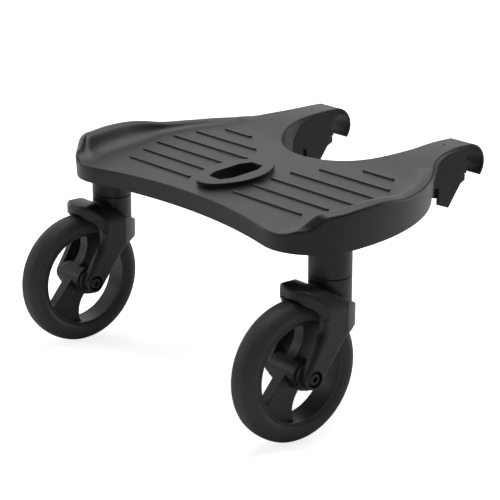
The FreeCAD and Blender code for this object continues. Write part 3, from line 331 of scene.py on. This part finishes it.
@dataclass
class HookArm(Subassembly):
    """One hook arm with its latch, screws and wound spring."""

    side: str
    wire: float = 0.00045
    turns: int = 7
    wire_sides: int = 10
    steps: int = 28
    travel: float = 0.010

    def nodes(self) -> tuple[str, ...]:
        """The arm's nodes.

        Returns:
            Their names.
        """
        return tuple(f"{self.side}_{piece}" for piece in ("arm", "latch", "latch_spring", "arm_screws"))

    def build(self) -> None:
        """Dress the arm and wind its latch spring."""
        super().build()
        self.wind_spring()

    def wind_spring(self) -> bpy.types.Object:
        """Wind the latch spring at its rest length and fix it to the board; it does not squash as the
        latch slides back.

        Returns:
            The finished spring.
        """
        node = f"{self.side}_latch_spring"
        low, high = (Vector(corner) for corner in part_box(node))
        length = high.y - low.y
        coil = self._coil(f"{self.side}_spring_coil", (high.x - low.x) / 2, length)
        coil.location = ((low.x + high.x) / 2, low.y, (low.z + high.z) / 2)
        bpy.ops.object.transform_apply(location=True, rotation=False, scale=False)
        self.dresser.dress(coil, "spring_steel")
        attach(coil, "board")
        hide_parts(node)
        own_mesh(coil)
        LOG.info("wound %s", coil.name)
        return coil

    def _coil(self, name: str, radius: float, length: float) -> bpy.types.Object:
        """Wind a wire into a coil that starts at the origin and runs along Y.

        Args:
            name: The coil's name.
            radius: Its outer radius.
            length: Its whole length.

        Returns:
            The coil, selected and active.
        """
        bpy.ops.object.select_all(action="DESELECT")
        bpy.ops.mesh.primitive_circle_add(vertices=self.wire_sides, radius=self.wire, fill_type="NOTHING")
        coil = bpy.context.object
        coil.name = name
        bpy.ops.object.mode_set(mode="EDIT")
        bpy.ops.mesh.select_all(action="SELECT")
        bpy.ops.transform.translate(value=(radius - self.wire, self.wire, 0))
        bpy.ops.object.mode_set(mode="OBJECT")
        winding = coil.modifiers.new("winding", "SCREW")
        winding.axis = "Y"
        winding.iterations = self.turns
        winding.screw_offset = (length - 2 * self.wire) / self.turns
        winding.steps = self.steps
        winding.render_steps = self.steps
        bpy.ops.object.modifier_apply(modifier=winding.name)
        bpy.ops.object.mode_set(mode="EDIT")
        bpy.ops.mesh.select_all(action="SELECT")
        bpy.ops.mesh.fill_holes(sides=0)
        bpy.ops.mesh.select_all(action="SELECT")
        bpy.ops.mesh.normals_make_consistent(inside=False)
        bpy.ops.object.mode_set(mode="OBJECT")
        bpy.ops.object.shade_smooth()
        return coil


@dataclass
class Caster(Subassembly):
    """One caster: socket, fork and wheel."""

    side: str

    def nodes(self) -> tuple[str, ...]:
        """The caster's nodes.

        Returns:
            Their names.
        """
        pieces = ("socket", "socket_screws", "swivel_bushes", "swivel_pin", "retaining_ring", "fork",
                  "axle_bolt", "axle_nut", "wheel_spacers", "wheel_bearings", "rim", "tyre")
        return tuple(f"{self.side}_{piece}" for piece in pieces)


@dataclass(frozen=True)
class Lamp:
    """A square soft lamp that the camera does not see."""

    name: str
    place: tuple[float, float, float]
    aim: tuple[float, float, float]
    width: float
    watts: float

    def hang(self) -> None:
        """Put the lamp in its place, facing its aim."""
        data = bpy.data.lights.new(self.name, "AREA")
        data.size = self.width
        data.energy = self.watts
        lamp = bpy.data.objects.new(self.name, data)
        lamp.location = self.place
        lamp.visible_camera = False
        way = Vector(self.place) - Vector(self.aim)
        lamp.rotation_euler = way.to_track_quat("Z", "Y").to_euler()
        bpy.context.collection.objects.link(lamp)


LAMPS = (
    Lamp("overhead", (-0.3, 0.5, 2.3), (0, 0, 0.1), 2.0, 41.0),
    Lamp("back_panel", (-2.4, 2.0, 1.0), (0, 0, 0.2), 3.2, 26.0),
    Lamp("right_window", (2.4, 1.2, 0.9), (0, 0, 0.15), 1.2, 1.5),
    Lamp("left_window", (-1.8, -1.8, 1.0), (0, 0, 0.15), 1.2, 7.5),
    Lamp("near_panel", (2.3, -1.9, 1.0), (0, 0, 0.2), 2.0, 5.0),
    Lamp("front_fill", (0.6, 2.6, 0.6), (0, 0, 0.15), 1.2, 11.0),
    Lamp("side_fill", (-2.8, 0.1, 0.6), (0, 0, 0.15), 1.2, 13.0),
)


@dataclass
class Studio:
    """Pale floor, soft lights and the camera at the photograph's place."""

    eye: tuple[float, float, float] = (1.3680, -1.1465, 0.6934)
    turn: float = 50.709
    fall: float = 17.807
    lens: float = 128.83
    floor_size: float = 30.0
    floor_tone: float = 0.86
    floor_lift: float = 0.79
    fade_start: float = 0.9
    fade_width: float = 1.6
    world_light: float = 0.1

    def build(self) -> None:
        """Make the whole studio."""
        self._camera()
        self._floor()
        self._world()
        for lamp in LAMPS:
            lamp.hang()
        view = bpy.context.scene.view_settings
        view.view_transform = "Standard"

    def _camera(self) -> None:
        """Camera that matches the photograph's perspective."""
        turn = math.radians(self.turn)
        fall = math.radians(self.fall)
        back = Vector((math.sin(turn) * math.cos(fall), -math.cos(turn) * math.cos(fall), math.sin(fall)))
        right = Vector((math.cos(turn), math.sin(turn), 0.0))
        up = back.cross(right)
        data = bpy.data.cameras.new("photo_camera")
        data.sensor_width = 36.0
        data.lens = self.lens
        camera = bpy.data.objects.new("photo_camera", data)
        pose = Matrix((right, up, back)).transposed().to_4x4()
        pose.translation = Vector(self.eye)
        camera.matrix_world = pose
        bpy.context.collection.objects.link(camera)
        bpy.context.scene.camera = camera

    def _floor(self) -> None:
        """Wide pale floor that keeps the board's shadow."""
        bpy.ops.object.select_all(action="DESELECT")
        bpy.ops.mesh.primitive_plane_add(size=self.floor_size)
        floor = bpy.context.object
        floor.name = "floor"
        material = bpy.data.materials.new("floor_paper")
        material.use_nodes = True
        web = ShaderWeb(material.node_tree)
        rays = web.node("ShaderNodeLightPath", {}, {})
        paper = web.node("ShaderNodeBsdfDiffuse", {}, {"Color": (*[self.floor_tone] * 3, 1.0)})
        length = web.node("ShaderNodeVectorMath", {"operation": "LENGTH"}, {0: web.place()})
        distance = web.out(length, "Value")
        far = web.maths("MAXIMUM", (distance - self.fade_start) * (1 / self.fade_width), 0.0)
        far = web.maths("MINIMUM", far, 1.0)
        lift = web.out(rays, "Is Camera Ray") * (far * (1 - self.floor_lift) + self.floor_lift)
        glow = web.node("ShaderNodeEmission", {}, {"Strength": lift})
        both = web.node("ShaderNodeAddShader", {}, {0: web.out(paper), 1: web.out(glow)})
        web.surface(both)
        floor.data.materials.append(material)

    def _world(self) -> None:
        """Even white surroundings, dimmer as light than as background."""
        world = bpy.data.worlds.new("white_room")
        world.use_nodes = True
        bpy.context.scene.world = world
        web = ShaderWeb(world.node_tree)
        rays = web.node("ShaderNodeLightPath", {}, {})
        strength = web.out(rays, "Is Camera Ray") * (1 - self.world_light) + self.world_light
        sky = web.node("ShaderNodeBackground", {}, {"Color": (1.0, 1.0, 1.0, 1.0), "Strength": strength})
        output = web.node("ShaderNodeOutputWorld", {}, {})
        web.tree.links.new(sky.outputs[0], output.inputs["Surface"])


def main() -> None:
    """Dress the board and set up its studio."""
    logging.basicConfig(level=logging.INFO, format="%(message)s")
    dresser = Dresser()
    groups: list[Subassembly] = [Deck(dresser)]
    for side in SIDES:
        groups += [HookArm(dresser, side), Caster(dresser, side)]
    for group in groups:
        group.build()
    Studio().build()


if __name__ == "__main__":
    main()
